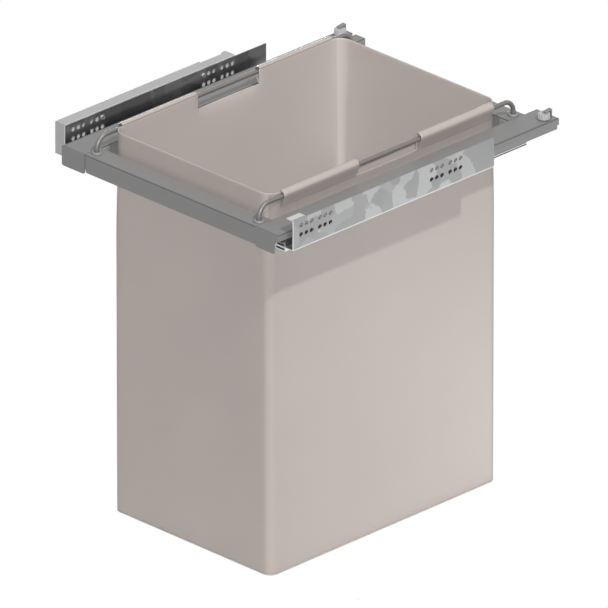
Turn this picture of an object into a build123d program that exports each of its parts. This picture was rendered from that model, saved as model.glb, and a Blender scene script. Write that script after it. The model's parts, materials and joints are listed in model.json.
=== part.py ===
from build123d import *
import math
import os

# Pull-out laundry hamper: a bag hung in a sheet-metal frame on concealed full-extension runners.
# Millimetres. X is the cabinet's width, +Y runs from the front of the cabinet to its back, +Z is up.
# The origin is at the middle of the whole part's footprint, on the level of the bag's base.
# The hamper is modelled pushed in, as it stands when the cabinet is closed.
os.makedirs("parts", exist_ok=True)

# Cabinet and overall sizes
SHEET = 1.5  # sheet of the pull-out frame
RAIL_SHEET = 1.2  # sheet of the runner profiles
FRAME_WIDTH = 373.0
FRAME_LENGTH = 484.5
FRAME_TOP = 486.5  # height of the frame's top face above the bag's base
SIDE_GAP = 9.3  # air between the frame and each cabinet rail's plate
SPACER_THICK = 17.0
# The spacer makes the part wider on its left, so the frame's middle lies right of the origin.
MIDDLE_X = SPACER_THICK / 2
FRONT_Y = -FRAME_LENGTH / 2
HALF_WIDTH = FRAME_WIDTH / 2

# Side channels and crossbars
CHANNEL_WIDTH = 39.2
OUTER_FLANK = 8.5
INNER_FLANK = 20.0
END_FLANGE = 26.2
END_STEP = (6.5, 9.0)  # the right end flange stands in by the first, below the second
NOTCH_FROM_OUTSIDE = 19.5
NOTCH_WIDTH = 4.0
NOTCH_DEPTH = 5.0
BAR_FLANGE = 23.4
FRONT_BAR = (0.0, 29.3)  # distance from the frame's front edge
REAR_BAR = (435.7, 463.7)
BAR_SLOT = 2.0  # open slot between the left channel and the front bar's flange
CORNER_RADIUS = 3.0
EDGE_RADIUS = 1.45
# Small round things that repeat are many-sided, which keeps the mesh light.
SMALL_SIDES = 12
ROD_SIDES = 16

# Runners, with distances "inward" measured from the frame's outer face towards the bag
RUNNER_MIDDLE = 10.0
RAIL_FRONT = 15.0
CABINET_RAIL_LENGTH = 346.0
MIDDLE_RAIL_LENGTH = 417.0
DRAWER_RAIL_LENGTH = 468.0
PLATE_TOP = 17.5
FLANGE_TOP = -20.4
FLANGE_REACH = 19.8
FOLD_BOTTOM = -26.6
FOLD_OUTER = 3.0

# Fixing holes of the cabinet rails, from the rail's front end, on a 32 mm system
HOLE_RADIUS = 3.05
HOLE_STEPS = (14.0, 23.0, 32.0, 46.0, 55.0, 64.0)
HOLE_GROUP_PITCH = 224.0
HOLE_ROWS = (-3.5, 9.0)
BOLT_STEPS = (32.0, 46.0)  # the steps that are stated as mounts, in both groups
LUG_START = 0.5
LUG_LENGTH = 22.0
LUG_REACH = 10.5

# Spacer block and its screws
SPACER_START = 1.0  # behind the rail's front end
SPACER_LENGTH = 292.0
SPACER_TOP = 18.7
SPACER_BOTTOM = -24.4
SPACER_RECESS = (247.0, 286.7)  # its outer face stands back here, from the rail's front end
SPACER_RECESS_DEPTH = 3.8
SPACER_EDGE = 1.0
SCREW_STEPS = (64.0, 238.0)
SCREW_HOLE_RADIUS = 2.3
SCREW_HEAD_RADIUS = 3.4
SCREW_HEAD_TAPER = 18
SCREW_SHANK_RADIUS = 2.0
SCREW_PLAY = 0.05
SCREW_LENGTH = 16.0
SCREW_HEAD_HEIGHT = 1.8
SCREW_CROSS = (4.2, 1.0)
SCREW_CROSS_DEPTH = 1.2

# Rollers and cages
UPPER_ROLLER_RADIUS = 1.45
LOWER_ROLLER_RADIUS = 1.35
UPPER_ROLLER_LENGTH = 8.0
LOWER_ROLLER_LENGTH = 6.6
UPPER_CAGE = (130.0, 370.0)  # from the frame's front, with the hamper pushed in
LOWER_CAGE = (130.0, 316.0)
UPPER_CAGE_WIDTH = 11.0
LOWER_CAGE_WIDTH = 8.8
ROLLERS_PER_GROUP = 3
ROLLER_PITCH = 11.0
CAGE_END = 8.0  # from the cage's end to the first roller
CAGE_THICK = 1.0
CAGE_PLAY = 0.2

# Bag
BAG_LENGTH = 393.7
BAG_WIDTH = 272.9
BAG_FRONT = 36.3
BAG_CORNER = 18.0
BAG_WALL = 1.6
BAG_TOP = 25.0
BASE_THICK = 1.5
BASE_CORNER = 20.0
BASE_EDGE = 3.5
HANDLE_CUT = 5.5
SLEEVES = ((53.4, 182.8), (288.8, 415.6))
SLEEVE_CLOTH = 1.3
SLEEVE_PLAY = 0.25
SLEEVE_HEADROOM = 1.9  # how much taller than the rod the sleeve's loop is
# Outline of the loop's crown, outward from the wall's outer face and up from the seam
SLEEVE_CROWN = ((1.8, 22.7), (-BAG_WALL, 21.4))
SLEEVE_BULGE = 1.3  # the widest place is this much above the rod's axis

# Hanging rods
ROD_RADIUS = 3.0
ROD_Z = 20.8
ROD_OUT = 139.8  # rod axis from the frame's middle
ROD_ENDS = (14.2, 452.2)
ROD_BEND = 16.0
ROD_FOOT = -14.0
BUSH_BORE = 3.06
BUSH_NECK = 5.2
BUSH_FLANGE = 7.3
BUSH_FLANGE_HEIGHT = 2.8
BUSH_BOTTOM = -12.0
BUSH_PLAY = 0.05

# Rear hooks and adjuster wheels
WHEEL_FROM_OUTSIDE = 10.8
WHEEL_FROM_REAR = 15.3
WHEEL_RADIUS = 7.7  # over its ribs
WHEEL_SPAN = (1.6, 8.6)  # heights above the channel's top face
WHEEL_CLEARANCE = 0.2
WHEEL_RIBS = 12
WHEEL_RIB = 0.8
WHEEL_RIB_WIDTH = 1.3
HUB_RADIUS = 3.5
SPINDLE_RADIUS = 1.75
SPINDLE_PLAY = 0.15
HOOK_FROM_OUTSIDE = 9.0
HOOK_WIDTH = 5.5
HOOK_SHEET = 1.5
# Middle line of the hook's strap: distance from the frame's front, height above the channel's top face
HOOK_LINE = ((478.0, 0.0), (478.0, 11.7), (467.6, 10.5))

# Corner brackets and their rivets
BRACKET_LEG = 13.0
BRACKET_TOP = -2.0
BRACKET_BOTTOM = -16.0
BRACKET_SHEET = 1.5
RIVET_RADIUS = 2.4
RIVET_HEAD = 1.0
RIVET_TAPER = 20
RIVET_FROM_END = 4.0
RIVET_Z = -9.0

SIDES = ((-1, "left"), (1, "right"))
ENDS = ((True, "front"), (False, "rear"))


def x_side(side, inward):
    """X of a point that lies inward of the frame's outer face; side is -1 on the left, 1 on the right."""
    return MIDDLE_X + side * (HALF_WIDTH - inward)


def y_from_front(distance):
    return FRONT_Y + distance


def z_from_top(height):
    return FRAME_TOP + height


def save(builder, name, color):
    builder.part.label = name
    builder.part.color = Color(*color)
    export_step(builder.part, f"parts/{name}.step")


def section(side, front):
    """Sketch plane across a runner: local x runs inward, local y up, extruded towards the back."""
    origin = (x_side(side, 0), y_from_front(front), FRAME_TOP)
    if side > 0:
        return Plane(origin=origin, x_dir=(-1, 0, 0), z_dir=(0, 1, 0))
    return Plane(origin=origin, x_dir=(1, 0, 0), z_dir=(0, -1, 0))


def along(side, length):
    """Extrusion length towards the back on the section plane of that side."""
    return length * side


def strip(inward, height):
    """Rectangle given by its inward range and its height range from the frame's top face."""
    low, high = inward
    bottom, top = height
    with Locations(((low + high) / 2, (bottom + top) / 2)):
        Rectangle(high - low, top - bottom)


def mirrored_strips(inward, height):
    low, high = inward
    strip((low, high), height)
    strip((2 * RUNNER_MIDDLE - high, 2 * RUNNER_MIDDLE - low), height)


# Levels of the runner stack, from the frame's top face down
ROLLER_PLAY = 0.1
PROFILE_GAP = 0.4
DRAWER_TOP = -SHEET
DRAWER_UNDER = DRAWER_TOP - RAIL_SHEET
MIDDLE_TOP = DRAWER_UNDER - 2 * UPPER_ROLLER_RADIUS - ROLLER_PLAY
UPPER_AXIS = (DRAWER_UNDER + MIDDLE_TOP) / 2
HEAD_UNDER = MIDDLE_TOP - RAIL_SHEET
FOOT_UNDER = FLANGE_TOP + 2 * LOWER_ROLLER_RADIUS + ROLLER_PLAY
LOWER_AXIS = (FOOT_UNDER + FLANGE_TOP) / 2
FOOT_TOP = FOOT_UNDER + RAIL_SHEET
SKIRT_BOTTOM = -14.5
HEM_TOP = HEAD_UNDER - PROFILE_GAP
TRACK_TOP = SKIRT_BOTTOM - PROFILE_GAP
FOOT_BOTTOM = FLANGE_TOP + 0.6
# Outer faces of the nested walls, inward of the frame's outer face
DRAWER_WALL = 1.6
TRACK_WALL = 2.4
HEAD_EDGE = 3.4
FOOT_WALL = 4.0
WEB_WALL = 6.4
LIP_END = 6.0


def drawer_rail_profile():
    """Inverted channel whose skirts are hemmed, so that the hems hold the middle rail's head down."""
    strip((DRAWER_WALL, 2 * RUNNER_MIDDLE - DRAWER_WALL), (DRAWER_UNDER, DRAWER_TOP))
    mirrored_strips((DRAWER_WALL, DRAWER_WALL + RAIL_SHEET), (SKIRT_BOTTOM, DRAWER_TOP))
    mirrored_strips((DRAWER_WALL + RAIL_SHEET, DRAWER_WALL + 2 * RAIL_SHEET), (SKIRT_BOTTOM, HEM_TOP))


def middle_rail_profile():
    """Double-web rail: a wide head in the drawer rail, a downturned foot in the cabinet rail's track."""
    strip((HEAD_EDGE, 2 * RUNNER_MIDDLE - HEAD_EDGE), (HEAD_UNDER, MIDDLE_TOP))
    mirrored_strips((WEB_WALL, WEB_WALL + RAIL_SHEET), (FOOT_TOP, HEAD_UNDER))
    strip((FOOT_WALL, 2 * RUNNER_MIDDLE - FOOT_WALL), (FOOT_UNDER, FOOT_TOP))
    mirrored_strips((FOOT_WALL, FOOT_WALL + RAIL_SHEET), (FOOT_BOTTOM, FOOT_UNDER))


def cabinet_rail_profile():
    """L profile: plate on the cabinet wall, flange hemmed and folded under, track walls with lips."""
    flange_under = FLANGE_TOP - RAIL_SHEET
    fold_top = FOLD_BOTTOM + RAIL_SHEET
    strip((-SIDE_GAP - RAIL_SHEET, -SIDE_GAP), (flange_under, PLATE_TOP))
    strip((-SIDE_GAP, FLANGE_REACH), (flange_under, FLANGE_TOP))
    strip((FOLD_OUTER, FLANGE_REACH), (flange_under - RAIL_SHEET, flange_under))
    strip((FLANGE_REACH - RAIL_SHEET, FLANGE_REACH), (fold_top, flange_under))
    strip((FOLD_OUTER, FLANGE_REACH), (FOLD_BOTTOM, fold_top))
    strip((FOLD_OUTER, FOLD_OUTER + RAIL_SHEET), (fold_top, flange_under))
    mirrored_strips((TRACK_WALL, TRACK_WALL + RAIL_SHEET), (FLANGE_TOP, TRACK_TOP))
    mirrored_strips((TRACK_WALL + RAIL_SHEET, LIP_END), (TRACK_TOP - RAIL_SHEET, TRACK_TOP))


def hole_positions(steps, rows):
    """Centres of fixing holes in both groups, as (distance from the rail's front end, height)."""
    return [(step + group, row) for group in (0.0, HOLE_GROUP_PITCH) for step in steps for row in rows]


def cabinet_wall_plane(side, inward):
    """Plane parallel to the cabinet's side wall: local x towards the back, local y up."""
    origin = (x_side(side, inward), y_from_front(RAIL_FRONT), FRAME_TOP)
    return Plane(origin=origin, x_dir=(0, 1, 0), z_dir=(1, 0, 0))


def bolt_holes(side):
    """Holes stated as mounts. On the left, only the upper row goes on through the spacer."""
    return hole_positions(BOLT_STEPS, HOLE_ROWS if side > 0 else HOLE_ROWS[1:])


def screw_holes():
    return [(step, HOLE_ROWS[1]) for step in SCREW_STEPS]


def make_cabinet_rail(side, name):
    round_holes = bolt_holes(side)
    small_holes = screw_holes() if side < 0 else []
    other_holes = [
        spot for spot in hole_positions(HOLE_STEPS, HOLE_ROWS) if spot not in round_holes + small_holes
    ]
    with BuildPart() as rail:
        with BuildSketch(section(side, RAIL_FRONT)):
            cabinet_rail_profile()
        extrude(amount=along(side, CABINET_RAIL_LENGTH))
        with BuildSketch(cabinet_wall_plane(side, -SIDE_GAP)):
            with Locations(*round_holes):
                Circle(HOLE_RADIUS)
            with Locations(*other_holes):
                RegularPolygon(HOLE_RADIUS, SMALL_SIDES)
            if small_holes:
                with Locations(*small_holes):
                    Circle(SCREW_HOLE_RADIUS)
        extrude(amount=side * RAIL_SHEET, mode=Mode.SUBTRACT)
        if side > 0:
            # The lug is bent off the plate's top edge, towards the frame.
            with BuildSketch(section(side, RAIL_FRONT + LUG_START)):
                strip((-SIDE_GAP - RAIL_SHEET, LUG_REACH - SIDE_GAP), (PLATE_TOP, PLATE_TOP + RAIL_SHEET))
            extrude(amount=along(side, LUG_LENGTH))
    save(rail, name, (0.66, 0.67, 0.68))


def make_spacer():
    """Block that makes up for the door's thickness on the hinge side, screwed on through the rail."""
    inner = -SIDE_GAP - RAIL_SHEET
    outer = inner - SPACER_THICK
    start, end = SPACER_RECESS
    with BuildPart() as spacer:
        with BuildSketch(section(-1, RAIL_FRONT + SPACER_START)):
            strip((outer, inner), (SPACER_BOTTOM, SPACER_TOP))
        extrude(amount=along(-1, SPACER_LENGTH))
        fillet(spacer.edges().filter_by(Axis.Y).group_by(Axis.Z)[-1], SPACER_EDGE)
        with BuildSketch(section(-1, RAIL_FRONT + start)):
            strip((outer, outer + SPACER_RECESS_DEPTH), (SPACER_BOTTOM, SPACER_TOP))
        extrude(amount=along(-1, end - start), mode=Mode.SUBTRACT)
        with BuildSketch(cabinet_wall_plane(-1, inner)):
            with Locations(*bolt_holes(-1)):
                Circle(HOLE_RADIUS)
            with Locations(*screw_holes()):
                RegularPolygon(SCREW_SHANK_RADIUS + SCREW_PLAY, SMALL_SIDES)
        extrude(amount=-SPACER_THICK, mode=Mode.SUBTRACT)
    save(spacer, "hinge_side_spacer", (0.80, 0.80, 0.80))


def make_spacer_screws():
    """Cross-head screws: the head bears on the rail plate, the shank holds in the spacer."""
    head_plane = cabinet_wall_plane(-1, -SIDE_GAP)
    with BuildPart() as screws:
        with BuildSketch(head_plane):
            with Locations(*screw_holes()):
                RegularPolygon(SCREW_HEAD_RADIUS, ROD_SIDES)
        extrude(amount=SCREW_HEAD_HEIGHT, taper=SCREW_HEAD_TAPER)
        with BuildSketch(head_plane):
            with Locations(*screw_holes()):
                RegularPolygon(SCREW_SHANK_RADIUS, SMALL_SIDES)
        extrude(amount=-SCREW_LENGTH)
        with BuildSketch(head_plane.offset(SCREW_HEAD_HEIGHT)):
            with Locations(*screw_holes()):
                Rectangle(*SCREW_CROSS)
                Rectangle(*SCREW_CROSS[::-1])
        extrude(amount=-SCREW_CROSS_DEPTH, mode=Mode.SUBTRACT)
    save(screws, "spacer_screws", (0.75, 0.76, 0.78))


def make_middle_rail(side, name):
    with BuildPart() as rail:
        with BuildSketch(section(side, RAIL_FRONT)):
            middle_rail_profile()
        extrude(amount=along(side, MIDDLE_RAIL_LENGTH))
    save(rail, name, (0.55, 0.56, 0.57))


def make_drawer_rail(side, name):
    with BuildPart() as rail:
        with BuildSketch(section(side, RAIL_FRONT)):
            drawer_rail_profile()
        extrude(amount=along(side, DRAWER_RAIL_LENGTH))
    save(rail, name, (0.62, 0.63, 0.64))


def roller_spots(cage):
    """Distances from the frame's front of the rollers, a group at each end of the cage."""
    start, end = cage
    steps = [CAGE_END + ROLLER_PITCH * k for k in range(ROLLERS_PER_GROUP)]
    return [start + step for step in steps] + [end - step for step in reversed(steps)]


def make_rollers(side, cage, radius, length, axis_z, name):
    with BuildPart() as rollers:
        start_x = x_side(side, RUNNER_MIDDLE) - length / 2
        plane = Plane(origin=(start_x, 0, z_from_top(axis_z)), x_dir=(0, 1, 0), z_dir=(1, 0, 0))
        with BuildSketch(plane):
            with Locations(*[(y_from_front(spot), 0) for spot in roller_spots(cage)]):
                RegularPolygon(radius, SMALL_SIDES)
        extrude(amount=length)
    save(rollers, name, (0.85, 0.86, 0.88))


def make_cage(side, cage, radius, length, axis_z, width, name):
    """Flat plastic strip at the rollers' axis height, with a window round each roller."""
    start, end = cage
    with BuildPart() as strip_cage:
        plane = Plane.XY.offset(z_from_top(axis_z) - CAGE_THICK / 2)
        middle_x = x_side(side, RUNNER_MIDDLE)
        with BuildSketch(plane):
            with Locations((middle_x, y_from_front((start + end) / 2))):
                Rectangle(width, end - start)
            with Locations(*[(middle_x, y_from_front(spot)) for spot in roller_spots(cage)]):
                Rectangle(length + 2 * CAGE_PLAY, 2 * (radius + CAGE_PLAY), mode=Mode.SUBTRACT)
        extrude(amount=CAGE_THICK)
    save(strip_cage, name, (0.92, 0.92, 0.90))


def make_side_channel(side, name):
    with BuildPart() as channel:
        with BuildSketch(section(side, 0)):
            strip((0, CHANNEL_WIDTH), (-SHEET, 0))
            strip((0, SHEET), (-OUTER_FLANK, 0))
            strip((CHANNEL_WIDTH - SHEET, CHANNEL_WIDTH), (-INNER_FLANK, 0))
        extrude(amount=along(side, FRAME_LENGTH))
        # Front end flange, turned down over the runner's end, with rounded lower corners.
        with BuildSketch(section(side, 0)) as flange:
            strip((0, CHANNEL_WIDTH), (-END_FLANGE, 0))
            if side > 0:
                step_in, step_down = END_STEP
                with Locations((step_in / 2, -(END_FLANGE + step_down) / 2)):
                    Rectangle(step_in, END_FLANGE - step_down, mode=Mode.SUBTRACT)
            fillet(flange.vertices().group_by(Axis.Z)[0], CORNER_RADIUS)
        extrude(amount=along(side, SHEET))
        # Notch in the rear end, and the hole for the adjuster's spindle.
        with BuildSketch(Plane.XY.offset(FRAME_TOP)):
            with Locations((x_side(side, NOTCH_FROM_OUTSIDE), y_from_front(FRAME_LENGTH))):
                Rectangle(NOTCH_WIDTH, 2 * NOTCH_DEPTH)
            with Locations(wheel_centre(side)):
                RegularPolygon(SPINDLE_RADIUS + SPINDLE_PLAY, SMALL_SIDES)
        extrude(amount=-SHEET, mode=Mode.SUBTRACT)
        long_edges = channel.edges().filter_by(Axis.Y).group_by(Axis.Z)[-1]
        fillet(long_edges, EDGE_RADIUS)
    save(channel, name, (0.52, 0.52, 0.53))


def make_crossbar(span, flange_span, at_front, name):
    """Channel open downwards, with its tall flange on the outer side."""
    start, end = span
    left, right = x_side(-1, CHANNEL_WIDTH), x_side(1, CHANNEL_WIDTH)
    flange_left, flange_right = flange_span
    tall_plane_y = start + SHEET if at_front else end
    low_plane_y = end if at_front else start + SHEET
    with BuildPart() as bar:
        with BuildSketch(Plane.XY.offset(FRAME_TOP)):
            with Locations((MIDDLE_X, y_from_front((start + end) / 2))):
                Rectangle(right - left, end - start)
            with Locations(*[bushing_spot(side, at_front) for side in (-1, 1)]):
                RegularPolygon(BUSH_NECK + BUSH_PLAY, ROD_SIDES, mode=Mode.SUBTRACT)
        extrude(amount=-SHEET)
        with BuildSketch(across_plane(low_plane_y)):
            with Locations((MIDDLE_X, -INNER_FLANK / 2)):
                Rectangle(right - left, INNER_FLANK)
        extrude(amount=SHEET)
        with BuildSketch(across_plane(tall_plane_y)) as flange:
            with Locations(((flange_left + flange_right) / 2, -BAR_FLANGE / 2)):
                Rectangle(flange_right - flange_left, BAR_FLANGE)
            fillet(flange.vertices().group_by(Axis.Z)[0], CORNER_RADIUS)
        extrude(amount=SHEET)
        fillet(bar.edges().filter_by(Axis.X).group_by(Axis.Z)[-1], EDGE_RADIUS)
    save(bar, name, (0.52, 0.52, 0.53))


def across_plane(distance):
    """Upright plane across the frame: local x to the right, local y up, extruded towards the front."""
    return Plane(origin=(0, y_from_front(distance), FRAME_TOP), x_dir=(1, 0, 0), z_dir=(0, -1, 0))


def bushing_spot(side, at_front):
    return (MIDDLE_X + side * ROD_OUT, y_from_front(ROD_ENDS[0] if at_front else ROD_ENDS[1]))


def make_bushing(side, at_front, name):
    """Flanged plastic bushing that a rod's leg drops into."""
    foot_plane = Plane((*bushing_spot(side, at_front), z_from_top(BUSH_BOTTOM)))
    with BuildPart() as bushing:
        with BuildSketch(foot_plane):
            RegularPolygon(BUSH_NECK, ROD_SIDES)
        extrude(amount=-BUSH_BOTTOM)
        with BuildSketch(foot_plane.offset(-BUSH_BOTTOM)):
            RegularPolygon(BUSH_FLANGE, ROD_SIDES)
        extrude(amount=BUSH_FLANGE_HEIGHT)
        with BuildSketch(foot_plane):
            RegularPolygon(BUSH_BORE, ROD_SIDES)
        extrude(amount=BUSH_FLANGE_HEIGHT - BUSH_BOTTOM, mode=Mode.SUBTRACT)
    save(bushing, name, (0.50, 0.51, 0.52))


def make_corner_bracket(side, at_front, name):
    """Angle that ties a crossbar's inner flank to a side channel's inner flank."""
    bar_face, towards = bar_inner_face(at_front)
    corner_x = x_side(side, CHANNEL_WIDTH)
    with BuildPart() as bracket:
        with BuildSketch(Plane.XY.offset(z_from_top(BRACKET_BOTTOM))):
            with Locations((corner_x - side * BRACKET_LEG / 2, bar_face + towards * BRACKET_SHEET / 2)):
                Rectangle(BRACKET_LEG, BRACKET_SHEET)
            with Locations((corner_x - side * BRACKET_SHEET / 2, bar_face + towards * BRACKET_LEG / 2)):
                Rectangle(BRACKET_SHEET, BRACKET_LEG)
        extrude(amount=BRACKET_TOP - BRACKET_BOTTOM)
    save(bracket, name, (0.66, 0.67, 0.68))


def bar_inner_face(at_front):
    """Y of a crossbar's face that looks at the bag, and the direction that it looks in."""
    if at_front:
        return y_from_front(FRONT_BAR[1]), 1
    return y_from_front(REAR_BAR[0]), -1


def wheel_centre(side):
    return (x_side(side, WHEEL_FROM_OUTSIDE), y_from_front(FRAME_LENGTH - WHEEL_FROM_REAR))


def make_adjuster_wheel(side, name):
    """Ribbed plastic wheel with a hub, on a spindle that passes through the channel's top."""
    bottom, top = WHEEL_SPAN
    with BuildPart() as wheel:
        with BuildSketch(Plane.XY.offset(z_from_top(bottom))):
            with Locations(wheel_centre(side)):
                RegularPolygon(WHEEL_RADIUS - WHEEL_RIB, WHEEL_RIBS)
                with PolarLocations(WHEEL_RADIUS - WHEEL_RIB, WHEEL_RIBS):
                    Rectangle(2 * WHEEL_RIB, WHEEL_RIB_WIDTH)
        extrude(amount=top - bottom)
        with BuildSketch(Plane.XY.offset(z_from_top(WHEEL_CLEARANCE))):
            with Locations(wheel_centre(side)):
                RegularPolygon(HUB_RADIUS, SMALL_SIDES)
        extrude(amount=bottom - WHEEL_CLEARANCE)
        with BuildSketch(Plane.XY.offset(z_from_top(WHEEL_CLEARANCE))):
            with Locations(wheel_centre(side)):
                RegularPolygon(SPINDLE_RADIUS, SMALL_SIDES)
        extrude(amount=-SHEET)
    save(wheel, name, (0.90, 0.90, 0.90))


def make_rear_hook(side, name):
    """Bent strap that stands behind the wheel and reaches forward over it."""
    plane = Plane(
        origin=(x_side(side, HOOK_FROM_OUTSIDE) - HOOK_WIDTH / 2, FRONT_Y, FRAME_TOP),
        x_dir=(0, 1, 0),
        z_dir=(1, 0, 0),
    )
    with BuildPart() as hook:
        with BuildSketch(plane):
            with BuildLine():
                Polyline(*HOOK_LINE)
            trace(line_width=HOOK_SHEET)
        extrude(amount=HOOK_WIDTH)
    save(hook, name, (0.45, 0.46, 0.47))


def make_rod(side, name):
    """Rod, bent down at both ends into the bushings."""
    x = MIDDLE_X + side * ROD_OUT
    y_front, y_rear = (y_from_front(end) for end in ROD_ENDS)
    leg_height = ROD_Z - ROD_BEND - ROD_FOOT
    bend_z = z_from_top(ROD_Z - ROD_BEND)
    with BuildPart() as rod:
        for y_leg, inward in ((y_front, 1), (y_rear, -1)):
            with BuildSketch(Plane((x, y_leg, bend_z))):
                RegularPolygon(ROD_RADIUS, ROD_SIDES)
            extrude(amount=-leg_height)
            with BuildSketch(Plane((x, y_leg, bend_z))):
                RegularPolygon(ROD_RADIUS, ROD_SIDES)
            pivot = (x, y_leg + inward * ROD_BEND, bend_z)
            revolve(axis=Axis(pivot, (-inward, 0, 0)), revolution_arc=90)
        straight = Plane(
            origin=(x, y_front + ROD_BEND, z_from_top(ROD_Z)), x_dir=(1, 0, 0), z_dir=(0, 1, 0)
        )
        with BuildSketch(straight):
            RegularPolygon(ROD_RADIUS, ROD_SIDES)
        extrude(amount=y_rear - y_front - 2 * ROD_BEND)
    save(rod, name, (0.50, 0.51, 0.52))


def make_bag_shell():
    """Upright bag: a thin wall with rounded corners, open at the top, cut down where the rods run."""
    cut_start, cut_end = SLEEVES[0][0], SLEEVES[1][1]
    with BuildPart() as bag:
        with BuildSketch(Plane.XY.offset(BASE_THICK)):
            with Locations((MIDDLE_X, y_from_front(BAG_FRONT + BAG_LENGTH / 2))):
                RectangleRounded(BAG_WIDTH, BAG_LENGTH, BAG_CORNER)
        extrude(amount=z_from_top(BAG_TOP) - BASE_THICK)
        chamfer(bag.faces().sort_by(Axis.Z)[0].edges(), BASE_EDGE)
        offset(amount=-BAG_WALL, openings=bag.faces().sort_by(Axis.Z)[-1])
        # The side walls are cut down between the outer ends of the two sleeves.
        with BuildSketch(Plane.XY.offset(z_from_top(HANDLE_CUT))):
            with Locations((MIDDLE_X, y_from_front((cut_start + cut_end) / 2))):
                Rectangle(BAG_WIDTH + BAG_WALL, cut_end - cut_start)
        extrude(amount=BAG_TOP - HANDLE_CUT, mode=Mode.SUBTRACT)
    save(bag, "bag_shell", (0.72, 0.68, 0.65))


def make_base_panel():
    """Stiff flat panel under the bag."""
    with BuildPart() as panel:
        with BuildSketch():
            with Locations((MIDDLE_X, y_from_front(BAG_FRONT + BAG_LENGTH / 2))):
                RectangleRounded(BAG_WIDTH, BAG_LENGTH, BASE_CORNER)
        extrude(amount=BASE_THICK)
    save(panel, "bag_base_panel", (0.60, 0.56, 0.53))


def loop_outline(x, low, high, radius):
    """Corners of a many-sided slot that stands upright, round end centres at both heights."""
    half = SMALL_SIDES // 2
    turns = [math.pi * k / half for k in range(half + 1)]
    crown = [(x + radius * math.cos(turn), high + radius * math.sin(turn)) for turn in turns]
    foot = [(x - radius * math.cos(turn), low - radius * math.sin(turn)) for turn in turns]
    return crown + foot


def make_sleeve(side, span, name):
    """Hem sleeve: the wall's cloth goes up beside the rod, over it, and back down to its own seam."""
    start, end = span
    inner = ROD_RADIUS + SLEEVE_PLAY
    wall_out = BAG_WIDTH / 2
    x_rod = ROD_OUT - wall_out
    rise = ROD_Z - HANDLE_CUT
    bulge = (x_rod + inner + SLEEVE_CLOTH, rise + SLEEVE_BULGE)
    # Local x runs outward from the wall's outer face, local y up from the seam.
    plane = Plane(
        origin=(MIDDLE_X + side * wall_out, y_from_front(start), z_from_top(HANDLE_CUT)),
        x_dir=(side, 0, 0),
        z_dir=(0, -side, 0),
    )
    with BuildPart() as sleeve:
        with BuildSketch(plane):
            with BuildLine():
                Polyline(SLEEVE_CROWN[1], (-BAG_WALL, 0), (SLEEVE_CLOTH, 0), bulge)
                ThreePointArc(bulge, *SLEEVE_CROWN)
            make_face()
            with BuildLine():
                Polyline(*loop_outline(x_rod, rise, rise + SLEEVE_HEADROOM, inner), close=True)
            make_face(mode=Mode.SUBTRACT)
        extrude(amount=-side * (end - start))
    save(sleeve, name, (0.76, 0.72, 0.69))


def make_frame_rivets():
    """Blind rivets through the corner brackets into the crossbars' inner flanks."""
    with BuildPart() as rivets:
        for at_front, _ in ENDS:
            bar_face, towards = bar_inner_face(at_front)
            head_y = bar_face + towards * BRACKET_SHEET
            plane = Plane(origin=(0, head_y, z_from_top(RIVET_Z)), x_dir=(1, 0, 0), z_dir=(0, towards, 0))
            with BuildSketch(plane):
                for side, _ in SIDES:
                    with Locations((x_side(side, CHANNEL_WIDTH + BRACKET_LEG - RIVET_FROM_END), 0)):
                        RegularPolygon(RIVET_RADIUS, SMALL_SIDES)
            extrude(amount=RIVET_HEAD, taper=RIVET_TAPER)
    save(rivets, "frame_rivets", (0.70, 0.71, 0.72))


for side, word in SIDES:
    make_cabinet_rail(side, f"{word}_cabinet_rail")
    make_middle_rail(side, f"{word}_middle_rail")
    make_drawer_rail(side, f"{word}_drawer_rail")
    upper = (side, UPPER_CAGE, UPPER_ROLLER_RADIUS, UPPER_ROLLER_LENGTH, UPPER_AXIS)
    lower = (side, LOWER_CAGE, LOWER_ROLLER_RADIUS, LOWER_ROLLER_LENGTH, LOWER_AXIS)
    make_rollers(*upper, f"{word}_upper_rollers")
    make_rollers(*lower, f"{word}_lower_rollers")
    make_cage(*upper, UPPER_CAGE_WIDTH, f"{word}_upper_cage")
    make_cage(*lower, LOWER_CAGE_WIDTH, f"{word}_lower_cage")
    make_side_channel(side, f"{word}_side_channel")
    make_rear_hook(side, f"{word}_rear_hook")
    make_adjuster_wheel(side, f"{word}_adjuster_wheel")
    make_rod(side, f"{word}_hanging_rod")
    for at_front, end_word in ENDS:
        make_bushing(side, at_front, f"{end_word}_{word}_bushing")
        make_corner_bracket(side, at_front, f"{end_word}_{word}_bracket")
    for span, (_, end_word) in zip(SLEEVES, ENDS):
        make_sleeve(side, span, f"{end_word}_{word}_sleeve")

make_spacer()
make_spacer_screws()
bar_left, bar_right = x_side(-1, CHANNEL_WIDTH), x_side(1, CHANNEL_WIDTH)
make_crossbar(FRONT_BAR, (bar_left + BAR_SLOT, bar_right), True, "front_crossbar")
make_crossbar(REAR_BAR, (bar_left, bar_right), False, "rear_crossbar")
make_bag_shell()
make_base_panel()
make_frame_rivets()
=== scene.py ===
import json
import math

import bmesh
import bpy
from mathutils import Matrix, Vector, noise


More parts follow.
